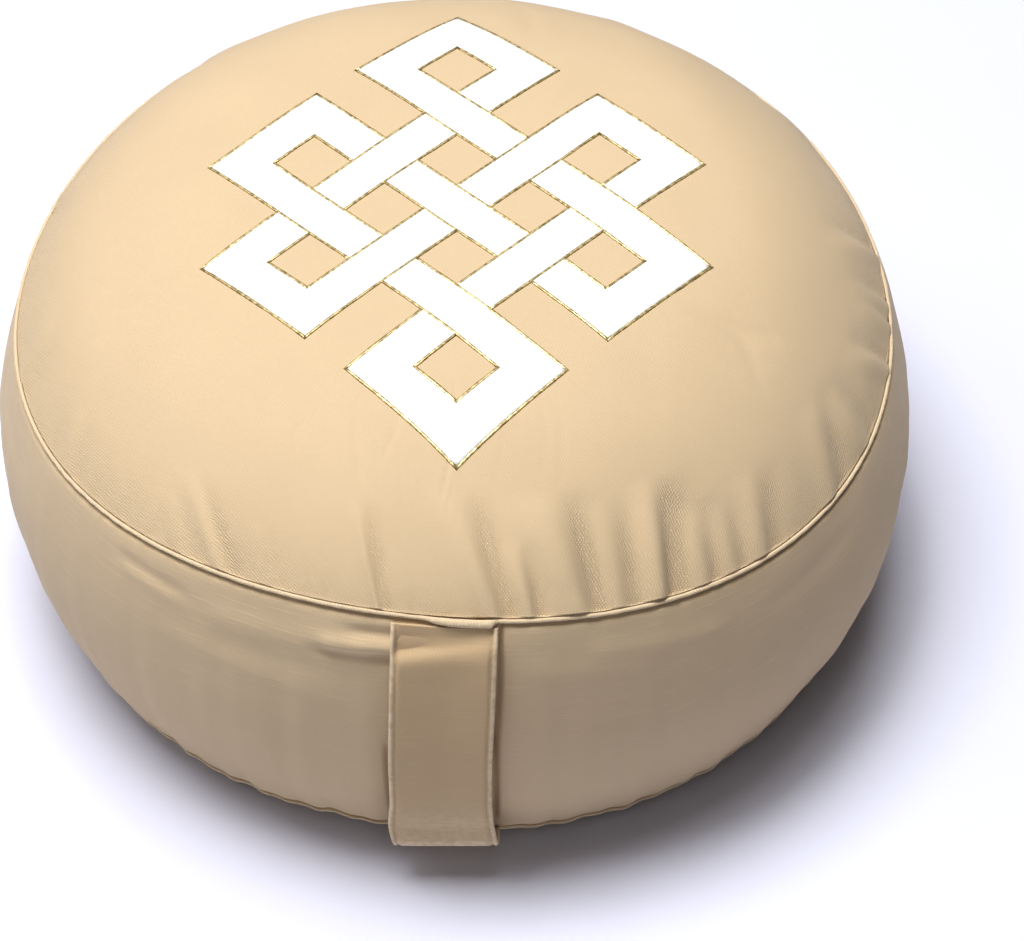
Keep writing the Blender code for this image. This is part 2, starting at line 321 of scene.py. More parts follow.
TUCK_REACH = 0.0020
TOP_RIB_SHADE = 0.038          # how clearly the twill's ribs show: on the smooth top panel,
GATHERED_RIB_SHADE = 0.27      # where the top panel is gathered,
BAND_RIB_SHADE = 0.025         # and on the band
GATHERED_DEPTH = 0.0008        # a furrow this deep shows its ribs in full,
GATHERED_EDGE = 0.5            # and the top panel's edge shows them by this share
GATHERED_REACH = 0.012
TOP_SLUB_SHADE = 0.012         # how clearly the slubs show: on the panels
BAND_SLUB_SHADE = 0.065        # and on the band, just below its upper seam
BAND_SLUB_LOSS = 0.65          # the share of it that is lost further down
BAND_SLUB_FADE = (1.25, 1.7)   # between these panel places
BAND_HEIGHT = SEAM_HEIGHT - LOW_SEAM_HEIGHT
SEAM_MARK = 0.001              # the step of the panel place over a seam's channel


def seam_line(waves, bearing, radius, height):
    """Radius and height of a seam at each bearing."""
    for wave in waves:
        cosine = np.cos(wave.repeats * bearing)
        sine = np.sin(wave.repeats * bearing)
        height = height + wave.lift_cos * cosine + wave.lift_sin * sine
        radius = radius + wave.spread_cos * cosine + wave.spread_sin * sine
    return radius, height


def top_seam(bearing):
    return seam_line(TOP_SEAM_WAVES, bearing, SEAM_RADIUS, SEAM_HEIGHT)


def low_seam(bearing):
    radius = top_seam(bearing)[0] * LOW_SEAM_TAPER
    return seam_line(LOW_SEAM_WAVES, bearing, radius, LOW_SEAM_HEIGHT)


def around(radius, height, bearing):
    """Points by their distance from the upright axis, height and bearing."""
    radius, height, bearing = np.broadcast_arrays(radius, height, bearing)
    return np.stack((radius * np.cos(bearing), radius * np.sin(bearing), height), axis=-1)


def crown_ring(share, bearing, fullness):
    """A ring of the top panel, share of the way from its middle to the seam."""
    radius, height = top_seam(bearing)
    lift = (height - SEAM_HEIGHT) * share ** 2
    power = CROWN_POWER + CROWN_SIDE_POWER * np.cos(2.0 * bearing)
    power = power + CROWN_BACK_POWER * np.sin(bearing)
    rise = CROWN_RISE * fullness * (1.0 - share ** power)
    towards = np.cos(bearing - CROWN_LEAN_BEARING)
    rise = rise + CROWN_LEAN * radius * share * towards * (1.0 - share ** 2)
    return around(radius * share, SEAM_HEIGHT + lift + rise, bearing)


def band_ring(share, bearing, fullness):
    """A ring of the side band, share of the way from the top seam to the low seam."""
    top_radius, top_height = top_seam(bearing)
    low_radius, low_height = low_seam(bearing)
    bulge = BAND_BULGE * fullness * math.sin(math.pi * share) ** BAND_FULLNESS
    radius = top_radius + (low_radius - top_radius) * share + bulge
    return around(radius, top_height + (low_height - top_height) * share, bearing)


def bottom_ring(share, bearing):
    """A ring of the bottom panel, share of the way from the low seam in to the foot."""
    radius, height = low_seam(bearing)
    radius = radius + SEAM_CHANNEL[-1].out
    height = height + SEAM_CHANNEL[-1].up
    return around(radius + (FOOT_RADIUS - radius) * share, height * (1.0 - share) ** 2, bearing)


def channel_rings(seam, bearing):
    """The rings that a seam draws in, from its upper lip to its lower one."""
    radius, height = seam(bearing)
    return [around(radius + step.out, height + step.up, bearing) for step in SEAM_CHANNEL]


def body_from_rings(name, rings, places, ends):
    """A closed body from rings of points, with its cloth coordinates, in metres, as a UV map.

    The ends are joined to each other, flat, or closed at a middle point. places has a column
    more than rings, and a row more where the ends are joined.
    """
    row_count, columns = rings.shape[:2]
    points = [tuple(point) for point in rings.reshape(-1, 3)]
    faces = []
    corners = []
    for row in range(row_count if ends == "joined" else row_count - 1):
        below = (row + 1) % row_count
        for column in range(columns):
            beside = (column + 1) % columns
            faces.append((row * columns + column, below * columns + column,
                          below * columns + beside, row * columns + beside))
            corners += [places[row, column], places[row + 1, column],
                        places[row + 1, column + 1], places[row, column + 1]]
    for row in () if ends == "joined" else (0, row_count - 1):
        edge = [row * columns + column for column in range(columns)]
        if ends == "flat":
            faces.append(edge)
            corners += [places[row, column] for column in range(columns)]
            continue
        middle = len(points)
        points.append(tuple(rings[row].mean(axis=0)))
        for column in range(columns):
            faces.append((edge[column], edge[(column + 1) % columns], middle))
            corners += [places[row, column], places[row, column + 1], places[row].mean(axis=0)]
    mesh = bpy.data.meshes.new(name)
    mesh.from_pydata(points, [], faces)
    cloth_map = mesh.uv_layers.new(name="cloth")
    cloth_map.data.foreach_set("uv", np.array(corners, dtype=np.float32).ravel())
    shape = bmesh.new()
    shape.from_mesh(mesh)
    bmesh.ops.recalc_face_normals(shape, faces=shape.faces)
    if shape.calc_volume(signed=True) < 0.0:
        bmesh.ops.reverse_faces(shape, faces=shape.faces)
    shape.to_mesh(mesh)
    shape.free()
    mesh.shade_smooth()
    return put_in_scene(name, mesh)


def cover_rings(fullness):
    """The cover's rings from the crown's middle down to the foot, and each ring's panel place.

    A panel place runs from 0 to 1 over the top, to 2 down the band and to 3 over the bottom.
    """
    step = math.tau * np.arange(COLUMNS) / COLUMNS
    bearing = step - FRONT_CROWDING * np.sin(step - STRAP_BEARING)
    rings = []
    panel_places = []
    channel_marks = SEAM_MARK * (np.arange(len(SEAM_CHANNEL)) - 1.5)
    for row in range(1, CROWN_ROWS):
        share = 1.0 - (1.0 - row / CROWN_ROWS) ** CROWN_CROWDING
        rings.append(crown_ring(share, bearing, fullness))
        panel_places.append(share)
    rings += channel_rings(top_seam, bearing)
    panel_places += list(1.0 + channel_marks)
    for row in range(1, BAND_ROWS):
        even = row / BAND_ROWS
        # Half of the way is even, and half lies closer together at the seams.
        share = 0.5 * even + 0.25 * (1.0 - math.cos(math.pi * even))
        rings.append(band_ring(share, bearing, fullness))
        panel_places.append(1.0 + share)
    rings += channel_rings(low_seam, bearing)
    panel_places += list(2.0 + channel_marks)
    for row in range(1, BOTTOM_ROWS + 1):
        rings.append(bottom_ring(row / BOTTOM_ROWS, bearing))
        panel_places.append(2.0 + row / BOTTOM_ROWS)
    return np.array(rings), np.array(panel_places)


def run_lengths(points):
    """The distance to each point along the line of them."""
    steps = np.linalg.norm(np.diff(points, axis=0), axis=1)
    return np.concatenate(([0.0], np.cumsum(steps)))


def cloth_places(rings, panel_places):
    """Cloth coordinates of the rings: the panels as discs laid flat, the band as a strip."""
    run = np.linalg.norm(rings[0, 0, :2]) + run_lengths(rings[:, 0])
    bearing = np.unwrap(np.arctan2(rings[0, :, 1], rings[0, :, 0]))
    turns = np.append(bearing, bearing[0] + math.tau)
    places = np.empty((len(rings), len(turns), 2))
    for row, distance in enumerate(run):
        if 1.0 <= panel_places[row] < 2.0:
            places[row, :, 0] = SEAM_RADIUS * turns
            places[row, :, 1] = -distance
            continue
        reach = distance if panel_places[row] < 1.0 else run[-1] + FOOT_RADIUS - distance
        places[row, :, 0] = reach * np.cos(turns)
        places[row, :, 1] = reach * np.sin(turns)
    return places


def ease(low, high, value):
    """How far value has come from low to high, eased at both ends."""
    share = np.clip((value - low) / (high - low), 0.0, 1.0)
    return share * share * (3.0 - 2.0 * share)


def settle_filling(rings, panel_places):
    """Presses the filling out against the cover, which is held at its seams and its foot.

    More filling then brings every ring, on the whole, back to the full size of the cover.
    """
    row_count, columns = rings.shape[:2]
    places = np.zeros((row_count, columns + 1, 2))
    shell = body_from_rings("filling", rings, places, "peaked")
    sewn = (np.abs(panel_places - 1.0) < SEWN_REACH) | (panel_places > 2.0 - SEWN_REACH)
    sewn = np.append(np.repeat(sewn, columns), (False, True))
    held = shell.vertex_groups.new(name="sewn")
    held.add([int(index) for index in np.nonzero(sewn)[0]], 1.0, "REPLACE")
    cloth = shell.modifiers.new("filling", "CLOTH")
    cloth.settings.use_pressure = True
    cloth.settings.uniform_pressure_force = FILLING_PRESSURE
    cloth.settings.vertex_group_mass = held.name
    cloth.settings.effector_weights.gravity = 0.0
    cloth.point_cache.frame_end = FILLING_FRAMES
    for frame_number in range(1, FILLING_FRAMES + 1):
        scene.frame_set(frame_number)
    settled = shell.evaluated_get(bpy.context.evaluated_depsgraph_get()).data
    points = np.empty(len(settled.vertices) * 3, dtype=np.float32)
    settled.vertices.foreach_get("co", points)
    moves = points.astype(float).reshape(-1, 3)[:row_count * columns].reshape(rings.shape)
    moves -= rings
    scene.frame_set(1)
    bpy.data.objects.remove(shell)
    even = ease(MIDDLE_REACH, MIDDLE_REACH / 2.0, panel_places)[:, None, None]
    moves += (moves.mean(axis=1, keepdims=True) - moves) * even
    sizes = np.linalg.norm(moves, axis=-1, keepdims=True)
    pressed = rings + moves * np.minimum(1.0, LARGEST_MOVE / np.maximum(sizes, 1e-9))
    full = cover_rings(1.0)[0]
    short = full - pressed
    outwards = full[..., :2] / np.linalg.norm(full[..., :2], axis=-1, keepdims=True)
    spread = (short[..., :2] * outwards).sum(axis=-1).mean(axis=1)
    pressed[..., :2] += outwards * spread[:, None, None]
    pressed[..., 2] += short[..., 2].mean(axis=1)[:, None]
    return pressed


def with_middles(rows, closed):
    """Rows of points with a smooth new row between each two. Closed rows run round."""
    if closed:
        before, after = np.roll(rows, 1, axis=0), np.roll(rows, -1, axis=0)
        beyond = np.roll(rows, -2, axis=0)
        middles = (9.0 * (rows + after) - before - beyond) / 16.0
        return np.stack((rows, middles), axis=1).reshape(-1, *rows.shape[1:])
    first, last = 2.0 * rows[0] - rows[1], 2.0 * rows[-1] - rows[-2]
    longer = np.concatenate((first[None], rows, last[None]))
    middles = (9.0 * (rows[:-1] + rows[1:]) - longer[:-3] - longer[3:]) / 16.0
    finer = np.empty((2 * len(rows) - 1, *rows.shape[1:]))
    finer[0::2] = rows
    finer[1::2] = middles
    return finer


def outward(rings):
    """The cloth's outward direction at each point of the rings."""
    down = np.gradient(rings, axis=0)
    beside = np.roll(rings, -1, axis=1) - np.roll(rings, 1, axis=1)
    normals = np.cross(down, beside)
    return normals / np.linalg.norm(normals, axis=-1, keepdims=True)


def turn_from(middle, bearing):
    """The turn from a middle bearing to another, at most half a turn either way."""
    return np.remainder(bearing - middle + math.pi, math.tau) - math.pi


def crease_height(crease, bearing, share, run_length):
    """Height of one crease over the band at each point."""
    start = np.array((math.radians(crease.bearing) * SEAM_RADIUS, crease.share * run_length))
    end = np.array((math.radians(crease.end_bearing) * SEAM_RADIUS,
                    crease.end_share * run_length))
    middle = math.radians(crease.bearing + crease.end_bearing) / 2.0
    across = (turn_from(middle, bearing) + middle) * SEAM_RADIUS - start[0]
    down = share * run_length - start[1]
    line = end - start
    length = np.linalg.norm(line)
    along = (across * line[0] + down * line[1]) / length
    aside = (across * line[1] - down * line[0]) / length
    past = np.maximum(np.maximum(-along, along - length), 0.0)
    return crease.height * np.exp(-(aside / crease.width) ** 2 - (past / CREASE_FADE) ** 2)


def pucker_height(bearing, inset):
    """Height of the puckers over the top panel, at a bearing and a distance in from the seam."""
    height = np.zeros_like(bearing)
    for pucker in PUCKERS:
        run = inset / pucker.length
        middle = np.radians(pucker.bearing + pucker.lean * run)
        across = (SEAM_RADIUS - inset) * turn_from(middle, bearing) / (1.0 + PUCKER_SPREAD * run)
        ridge = (across / pucker.wall + PUCKER_RIDGE_OFF) / PUCKER_RIDGE_WIDTH
        width = np.where(across < pucker.wall, pucker.wall, pucker.slope)
        furrow = (across - pucker.wall) / width
        shape = PUCKER_RIDGE * np.exp(-ridge ** 2) - (1.0 - PUCKER_RIDGE) * np.exp(-furrow ** 2)
        height += pucker.depth * shape * np.maximum(1.0 - run, 0.0) * (1.0 + 2.0 * run)
    return height


def cover_relief(rings, panel_places):
    """How far the cloth stands out at each point: puckers, creases, gathered seams and lumps."""
    bearing = np.arctan2(rings[..., 1], rings[..., 0])
    along = np.broadcast_to(panel_places[:, None], bearing.shape)
    relief = np.zeros(bearing.shape)
    top = along < 1.0 - 2.0 * SEAM_MARK
    relief[top] += pucker_height(bearing[top], SEAM_RADIUS * (1.0 - along[top]))
    band = (along > 1.0 + 2.0 * SEAM_MARK) & (along < 2.0 - 2.0 * SEAM_MARK)
    for crease in BAND_CREASES:
        relief[band] += crease_height(crease, bearing[band], along[band] - 1.0, BAND_HEIGHT)
    from_top_seam = np.abs(along - 1.0) * np.where(along < 1.0, SEAM_RADIUS, BAND_HEIGHT)
    from_seam = np.minimum(from_top_seam, np.abs(along - 2.0) * BAND_HEIGHT)
    loose = np.clip((from_seam - LUMP_START) / LUMP_FADE, 0.0, 1.0)
    loose *= np.clip((LUMP_END - along) / (LUMP_END - 2.0), 0.0, 1.0)
    gather = np.exp(-from_seam / RIPPLE_REACH) * np.clip(from_seam / RIPPLE_START, 0.0, 1.0)
    relief[band] -= TUCK_DEPTH * np.exp(-(from_seam[band] / TUCK_REACH) ** 2)
    for row, column in np.argwhere((loose > 0.0) | (gather > FAINTEST_RIPPLE)):
        lump = noise.noise(Vector(rings[row, column]) / LUMP_SIZE)
        run = bearing[row, column] * SEAM_RADIUS / RIPPLE_SIZE
        ripple = noise.noise(Vector((run, along[row, column] * RIPPLE_CHANGE, RIPPLE_SEED)))
        relief[row, column] += LUMP_HEIGHT * loose[row, column] * lump
        relief[row, column] += RIPPLE_HEIGHT * gather[row, column] * ripple
    return relief


def rib_shades(rings, panel_places):
    """How clearly the ribs show at each point: most in the puckers, least on the band."""
    bearing = np.arctan2(rings[..., 1], rings[..., 0])
    inset = np.broadcast_to(SEAM_RADIUS * (1.0 - panel_places[:, None]), bearing.shape)
    gathered = np.clip(-pucker_height(bearing, inset) / GATHERED_DEPTH, 0.0, 1.0)
    gathered = np.maximum(gathered, GATHERED_EDGE * np.exp(-(inset / GATHERED_REACH) ** 2))
    shades = TOP_RIB_SHADE + (GATHERED_RIB_SHADE - TOP_RIB_SHADE) * gathered
    return np.where(inset > 0.0, shades, BAND_RIB_SHADE)


def slub_shades(rings, panel_places):
    """How clearly the slubs show at each point: most on the upper half of the band."""
    along = np.broadcast_to(panel_places[:, None], rings.shape[:2])
    band = (along > 1.0) & (along < 2.0)
    band_shade = BAND_SLUB_SHADE * (1.0 - BAND_SLUB_LOSS * ease(*BAND_SLUB_FADE, along))
    return np.where(band, band_shade, TOP_SLUB_SHADE)


def add_attribute(body, name, values):
    """Keeps a value at each point of a body, for its material to read."""
    attribute = body.data.attributes.new(name, "FLOAT", "POINT")
    attribute.data.foreach_set("value", np.ravel(values).astype(np.float32))


# The weave, in cloth coordinates. The shades are shares of the cloth's colour.
RIB_SLANT = (0.82, 0.57)       # the direction across the ribs
RIB_WANDER = 1.7               # how far the ribs wander, in pitches
RIB_WANDER_SCALE = 380.0
FLOAT_DEPTH = 0.32             # how far the gap between two floats of a rib falls
MEAN_WEAVE = 0.45              # the height of the weave that keeps the cloth's own colour
SLUB_SCALE = (55.0, 1300.0, 1.0)
SLUB_RANGE = (0.50, 0.74)
PATCH_SCALE = 17.0             # the ribs are clear in patches of this scale, and faint between
PATCH_RANGE = (0.40, 0.62)
PATCH_SHADES = (0.35, 1.5)
CLOUD_SCALE = 28.0
RIB_HEIGHT = 8.0               # the height of a rib and of a slub, by their shades
SLUB_HEIGHT = 6.0
TWILL_COLOUR = (0.637, 0.497, 0.327, 1.0)
TWILL_PITCH = 0.00095
TWILL_CLOUD_SHADE = 0.06
TWILL_RELIEF = 0.00014
TWILL_ROUGHNESS = 0.88
TWILL_SHEEN = 0.12
TWILL_SHEEN_ROUGHNESS = 0.5
TWILL_SPECULAR = 0.2
TWILL_BUMP = 0.8


def new_tree(name, kind, inputs, outputs):
    """A node tree with inputs and outputs by name and kind, and the sockets of its inputs."""
    tree = bpy.data.node_groups.new(name, kind)
    for direction, sockets in (("INPUT", inputs), ("OUTPUT", outputs)):
        for socket, socket_kind in sockets.items():
            tree.interface.new_socket(name=socket, in_out=direction,
                                      socket_type="NodeSocket" + socket_kind)
    return tree, tree.nodes.new("NodeGroupInput").outputs


def noise_value(tree, place, scale, detail=2.0):
    """Adds noise by its place and returns its value."""
    node = add_node(tree, "ShaderNodeTexNoise", {},
                    {"Vector": place, "Scale": scale, "Detail": detail})
    return node.outputs["Fac"]


def mapped(tree, value, source, target=(0.0, 1.0), interpolation="LINEAR"):
    """Adds a node that maps one range to another, and returns its output."""
    node = add_node(tree, "ShaderNodeMapRange", {"interpolation_type": interpolation},
                    {"Value": value, "From Min": source[0], "From Max": source[1],
                     "To Min": target[0], "To Max": target[1]})
    return node.outputs[0]


def build_weave_group():
    """Twill weave: slanted ribs of short floats, slubs, and cloudy dye, by cloth coordinates."""
    group, given = new_tree(
        "Twill weave", "ShaderNodeTree",
        {"Place": "Vector", "Cloth colour": "Color", "Rib pitch": "Float", "Rib shade": "Float",
         "Slub shade": "Float", "Cloud shade": "Float"},
        {"Colour": "Color", "Height": "Float"})
    place, pitch = given["Place"], given["Rib pitch"]
    x, y = add_node(group, "ShaderNodeSeparateXYZ", {}, {0: place}).outputs[:2]
    over, up = RIB_SLANT
    slant = maths(group, "MULTIPLY_ADD", x, over, maths(group, "MULTIPLY", y, up))
    cross = maths(group, "MULTIPLY_ADD", x, up, maths(group, "MULTIPLY", y, -over))
    wander = noise_value(group, place, RIB_WANDER_SCALE)
    phase = maths(group, "DIVIDE", slant, pitch)
    phase = maths(group, "MULTIPLY_ADD", wander, RIB_WANDER, phase)
    rib = maths(group, "SINE", maths(group, "MULTIPLY", phase, math.tau))
    rib = maths(group, "MULTIPLY_ADD", rib, 0.5, 0.5)
    beat = maths(group, "MULTIPLY_ADD", phase, 0.5, maths(group, "DIVIDE", cross, pitch))
    beat = maths(group, "SINE", maths(group, "MULTIPLY", beat, math.tau))
    floats = maths(group, "MULTIPLY_ADD", beat, FLOAT_DEPTH, 1.0 - FLOAT_DEPTH)
    weave = maths(group, "MULTIPLY", rib, floats)
    stretched = add_node(group, "ShaderNodeMapping", {}, {"Vector": place, "Scale": SLUB_SCALE})
    slub = mapped(group, noise_value(group, stretched, 1.0), SLUB_RANGE, (0.0, 1.0), "SMOOTHSTEP")
    slub = maths(group, "MULTIPLY", slub, given["Slub shade"])
    patch = mapped(group, noise_value(group, place, PATCH_SCALE, detail=1.0),
                   PATCH_RANGE, PATCH_SHADES, "SMOOTHSTEP")
    cloud = maths(group, "SUBTRACT", noise_value(group, place, CLOUD_SCALE, detail=3.0), 0.5)
    shade = maths(group, "MULTIPLY", maths(group, "SUBTRACT", weave, MEAN_WEAVE),
                  given["Rib shade"])
    shade = maths(group, "MULTIPLY_ADD", shade, patch, slub)
    shade = maths(group, "MULTIPLY_ADD", cloud, given["Cloud shade"], shade)
    colour = scaled(group, given["Cloth colour"], maths(group, "ADD", shade, 1.0))
    height = maths(group, "MULTIPLY", given["Rib shade"], RIB_HEIGHT)
    height = maths(group, "MULTIPLY", weave, height)
    height = maths(group, "MULTIPLY_ADD", slub, SLUB_HEIGHT, height)
    add_node(group, "NodeGroupOutput", {}, {"Colour": colour, "Height": height})
    return group


weave_group = build_weave_group()


def add_bump(tree, shader, height, distance, strength):
    """Gives a shader a bump of the height."""
    bump = add_node(tree, "ShaderNodeBump", {},
                    {"Height": height, "Distance": distance, "Strength": strength})
    set_values(tree, shader, {"Normal": bump})


def twill_material(name, colour, pitch, rib_shade, slub_shade, cloud_shade, relief):
    """Matt cotton twill that follows the piece's own cloth coordinates."""
    material, tree, shader = plain_material(name, colour, TWILL_ROUGHNESS)
    cloth_map = add_node(tree, "ShaderNodeUVMap", {"uv_map": "cloth"})
    weave = add_node(tree, "ShaderNodeGroup", {"node_tree": weave_group, "name": "Weave"},
                     {"Place": cloth_map, "Cloth colour": colour, "Rib pitch": pitch,
                      "Rib shade": rib_shade, "Slub shade": slub_shade,
                      "Cloud shade": cloud_shade})
    add_bump(tree, shader, weave.outputs["Height"], relief, TWILL_BUMP)
    set_values(tree, shader, {"Base Color": weave.outputs["Colour"],
                              "Sheen Weight": TWILL_SHEEN,
                              "Sheen Roughness": TWILL_SHEEN_ROUGHNESS,
                              "Specular IOR Level": TWILL_SPECULAR})
    return material


def read_attribute(tree, name):
    """Adds the value that a body keeps at each of its points, and returns it."""
    return add_node(tree, "ShaderNodeAttribute", {"attribute_name": name}).outputs["Fac"]


cover_points, panel_places = cover_rings(SLACK_SHARE)
cover_points = settle_filling(cover_points, panel_places)
cover_points = with_middles(cover_points, closed=False)
cover_points = with_middles(cover_points.swapaxes(0, 1), closed=True).swapaxes(0, 1)
panel_places = np.interp(np.arange(len(cover_points)) / 2.0, np.arange(len(panel_places)),
                         panel_places)
cover_uv = cloth_places(cover_points, panel_places)
cover_points += outward(cover_points) * cover_relief(cover_points, panel_places)[..., None]
cover = body_from_rings("cushion_cover", cover_points, cover_uv, "peaked")
twill = twill_material("twill", TWILL_COLOUR, TWILL_PITCH, TOP_RIB_SHADE, TOP_SLUB_SHADE,
                       TWILL_CLOUD_SHADE, TWILL_RELIEF)
for shade_name, weave_input, shades, middle_shade in (
    ("rib_shade", "Rib shade", rib_shades(cover_points, panel_places), TOP_RIB_SHADE),
    ("slub_shade", "Slub shade", slub_shades(cover_points, panel_places), TOP_SLUB_SHADE),
):
    add_attribute(cover, shade_name, np.append(shades, (middle_shade, middle_shade)))
    set_values(twill.node_tree, twill.node_tree.nodes["Weave"],
               {weave_input: read_attribute(twill.node_tree, shade_name)})
cover.data.materials.append(twill)
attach(cover, "root")
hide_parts("cushion")


# Pipings. A strip of the same twill, cut on the bias and folded over a thin cord, is caught in
# each seam. The upper one shows whole. Above the strap's right-hand part the strap's folded
# end fills it out into a short roll. The lower one ripples where the band pulls at it.
PIPING_RADIUS = 0.0007
PIPING_OUT = 0.0003            # how far it stands out from the line of its seam
PIPING_STEPS = 1000
PIPING_SIDES = 10
PIPING_WANDER = 0.00018        # how far its line wanders,
PIPING_WANDER_SCALE = 30.0
PIPING_UNEVEN = 0.00008        # and how unevenly thick it is
PIPING_UNEVEN_SCALE = 81.0
# The piping's twill is painted paler than the cover's, a painted highlight where the thin cord
# catches the light.
PIPING_HIGHLIT_COLOUR = (0.715, 0.575, 0.395, 1.0)
PIPING_PITCH = 0.0008
PIPING_RIB_SHADE = 0.16
PIPING_SLUB_SHADE = 0.04
PIPING_CLOUD_SHADE = 0.05
PIPING_RELIEF = 0.00012
ROLL_START = math.radians(-94.0)
ROLL_FULL = math.radians(-90.0)
ROLL_END = math.radians(-84.8)
ROLL_CLOSE = 0.008             # the turn over which the roll ends
ROLL_EXTRA = 0.0007            # how much thicker the roll is than the piping
ROLL_SPREAD = 0.0012           # and how far it stands out


def build_piping(name, seam, roll, seed):
    """A thin closed tube that lies in its seam's channel, with the roll, at 1, or without it."""
    bearing = math.tau * np.arange(PIPING_STEPS) / PIPING_STEPS - math.pi
    radius, height = seam(bearing)
    swell = roll * ease(ROLL_START, ROLL_FULL, bearing)
    swell = swell * (1.0 - ease(ROLL_END - ROLL_CLOSE, ROLL_END, bearing))
    wander = []
    uneven = []
    for turn in bearing:
        place = Vector((math.cos(turn), math.sin(turn), seed))
        wander.append(noise.noise(place * PIPING_WANDER_SCALE))
        uneven.append(noise.noise(place * PIPING_UNEVEN_SCALE))
    wander, uneven = np.array(wander), np.array(uneven)
    thickness = PIPING_RADIUS + ROLL_EXTRA * swell + PIPING_UNEVEN * uneven
    middle = radius + PIPING_OUT + ROLL_SPREAD * swell + 0.5 * PIPING_WANDER * uneven
    level = height + PIPING_WANDER * wander
    rings = []
    for side in range(PIPING_SIDES):
        angle = math.tau * side / PIPING_SIDES
        rings.append(around(middle + thickness * math.cos(angle),
                            level + thickness * math.sin(angle), bearing))
    rings = np.array(rings).transpose(1, 0, 2)
    along = SEAM_RADIUS * math.tau * np.arange(PIPING_STEPS + 1) / PIPING_STEPS
    girth = math.tau * PIPING_RADIUS * np.arange(PIPING_SIDES + 1) / PIPING_SIDES
    places = np.stack(np.meshgrid(along, girth, indexing="ij"), axis=-1)
    return body_from_rings(name, rings, places, "joined")


piping_material = twill_material("piping_twill", PIPING_HIGHLIT_COLOUR, PIPING_PITCH, PIPING_RIB_SHADE,
                                 PIPING_SLUB_SHADE, PIPING_CLOUD_SHADE, PIPING_RELIEF)
for piping_name, node, seam, roll, seed in (
    ("top_piping_cord", "top_piping", top_seam, 1.0, 1.3),
    ("bottom_piping_cord", "bottom_piping", low_seam, 0.0, 4.1),
):
    piping = build_piping(piping_name, seam, roll, seed)
    piping.data.materials.append(piping_material)
    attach(piping, "root")
    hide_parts(node)


# Carrying strap. A strip of twill folded to double cloth with its edges turned in and stitched
# close to each edge. Its ends are caught in the two seams. It lies on the upper half of the
# band, hangs straight off the bulge, and turns under to the lower seam.
STRAP_WIDTH = 0.0346
STRAP_THICKNESS = 0.0022
STRAP_COLOUR = (0.585, 0.435, 0.268, 1.0)
# Its paler tone goes along its edges, as a painted highlight on its bend and as painted bounce
# light on its foot.
STRAP_PALE_COLOUR = (0.78, 0.64, 0.46, 1.0)
STRAP_RIB_SHADE = 0.06
STRAP_SLUB_SHADE = 0.05
STRAP_CLOUD_SHADE = 0.05
STRAP_RELIEF = 0.00010
STRAP_STEPS = 12
STRAP_LANES = 48
LANE_CROWDING = 0.6            # over 0, the lanes lie closer together at the strap's edges
STRAP_EDGE_SIDES = 6
STRAP_LAST_SIDE = 0.001        # the cloth coordinates' last step round the strap
BEND_INSET = 0.0035            # the strap's bends start this far in from its firm edges
STITCH_INSET = 0.0019          # the stitching lies in from the strap's edge by this
STITCH_GROOVE = 0.00055        # and draws the cloth in by this
STITCH_GROOVE_WIDTH = 0.0006
PALE_EDGE = 0.00176            # the strap's folded edges pale from this far in,
PALE_EDGE_FULL = 0.00066       # and are palest from here out
FOLD_HIGHLIGHT = (0.0205, 0.0225)   # a painted highlight lies on the bend near its foot, between these heights,
FOLD_HIGHLIGHT_TOP = (0.0235, 0.0265)   # and back between these
FOOT_BOUNCE_HEIGHT = 0.060       # painted bounce light from the floor makes its foot paler, below this height
FOOT_BOUNCE_LIGHT = 0.35
PALE_SPECK_SCALE = 420.0
PALE_SPECK_RANGE = (0.35, 0.60)
PALE_LEAST = 0.35              # the share of the paling that shows between the specks
Station = namedtuple("Station", "height reach aside")
STRAP_ROUTE = (
    Station(0.1302, 0.1575, -0.0023),
    Station(0.1253, 0.1609, -0.0025),
    Station(0.1156, 0.1636, -0.0029),
    Station(0.1024, 0.1663, -0.0034),
    Station(0.0867, 0.1680, -0.0040),
    Station(0.0722, 0.1682, -0.0045),
    Station(0.0580, 0.1676, -0.0046),
    Station(0.0450, 0.1667, -0.0047),
    Station(0.0340, 0.1658, -0.0048),
    Station(0.0248, 0.1652, -0.0040),
    Station(0.0209, 0.1641, -0.0034),
    Station(0.0188, 0.1602, -0.0032),
    Station(0.0136, 0.1531, -0.0032),
)
STRAP_TOP_FADE = 0.025         # it follows the top seam's curve down to this far below it
STRAP_FLATNESS = 0.9           # 1 is flat across, and 0 is as round as the band
STRAP_CURL = 0.0014            # its right edge stands this far off the band
STRAP_FLARE = 0.055            # it spreads wider by this share towards its foot,
STRAP_FLARE_TOP = 0.050        # between these heights
STRAP_FLARE_FULL = 0.030

# Bends of the strap: each a ridge or trough across it, from its left edge to its right. Left and
# right are distances down the strap from its top end; above and below are its widths each way.
StrapBend = namedtuple("StrapBend", "left right above below left_height right_height")
STRAP_BENDS = (
    StrapBend(0.0040, 0.0024, 0.0030, 0.0030, -0.0014, -0.0004),
    StrapBend(0.0094, 0.0042, 0.0046, 0.0019, -0.0028, -0.0003),
    StrapBend(0.0146, 0.0105, 0.0034, 0.0070, 0.0007, 0.0006),
    StrapBend(0.0400, 0.0360, 0.0110, 0.0110, -0.0003, -0.0003),
    StrapBend(0.0880, 0.0900, 0.0060, 0.0060, 0.0004, 0.0004),
    StrapBend(0.1000, 0.0985, 0.0030, 0.0030, -0.0003, -0.0003),
)


